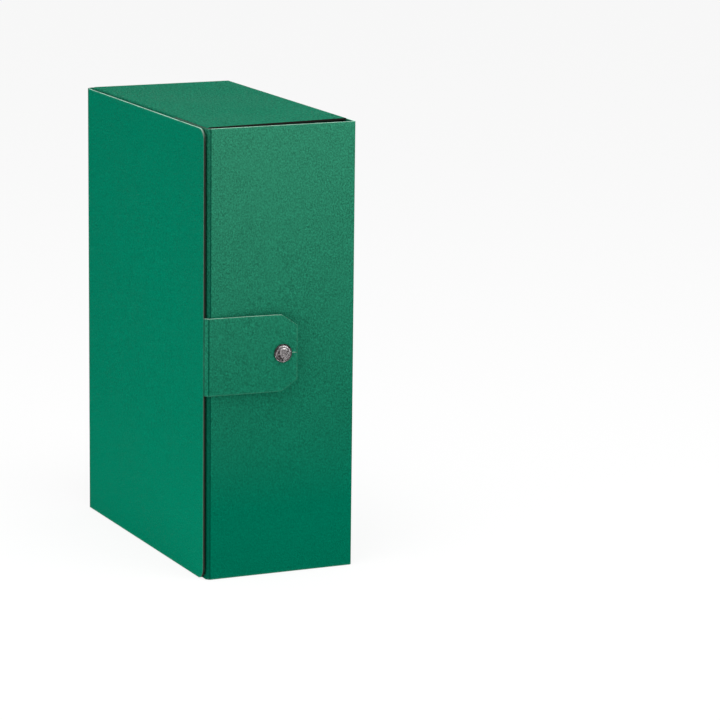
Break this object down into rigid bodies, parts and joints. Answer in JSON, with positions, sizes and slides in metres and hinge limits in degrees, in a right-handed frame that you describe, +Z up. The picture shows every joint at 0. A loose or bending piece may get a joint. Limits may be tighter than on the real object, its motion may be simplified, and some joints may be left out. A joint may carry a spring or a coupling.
{
  "type": "box file",
  "caption": "Deep upright document box folded from green leather-grained board, with a hinged lid, riveted end flaps and a closing tab with a metal press stud.",
  "frame": {"origin": "on the resting face of the lower end wall, under the middle of the box", "axes": "+Z up along the height, -X out of the lid, -Y out of the front wall with the closing tab, +Y out of the spine"},
  "size_m": [0.125, 0.2573, 0.35],
  "materials": {
    "board": "green coated board with a fine leather-grain emboss and a soft sheen, pale cut edges",
    "nickel": "nickel-plated pressed metal, satin"
  },
  "bodies": {
    "box": {"box_body": "board", "snap_stud": "nickel", "snap_post": "nickel", "upper_strip_rivet": "nickel", "lower_strip_rivet": "nickel"},
    "lid": {"lid": "board"},
    "tab": {"closing_tab": "board", "snap_cap": "nickel", "snap_socket": "nickel", "snap_spring": "nickel"}
  },
  "joints": [
    {"name": "lid_fold", "type": "hinge", "parent": "box", "child": "lid", "pos_m": [-0.0625, 0.1218, 0.175], "axis": [0, 0, -1], "range_deg": [0, 180]},
    {"name": "tab_fold", "type": "hinge", "parent": "lid", "child": "tab", "pos_m": [-0.0625, -0.1238, 0.175], "axis": [0, 0, -1], "range_deg": [0, 120]}
  ]
}
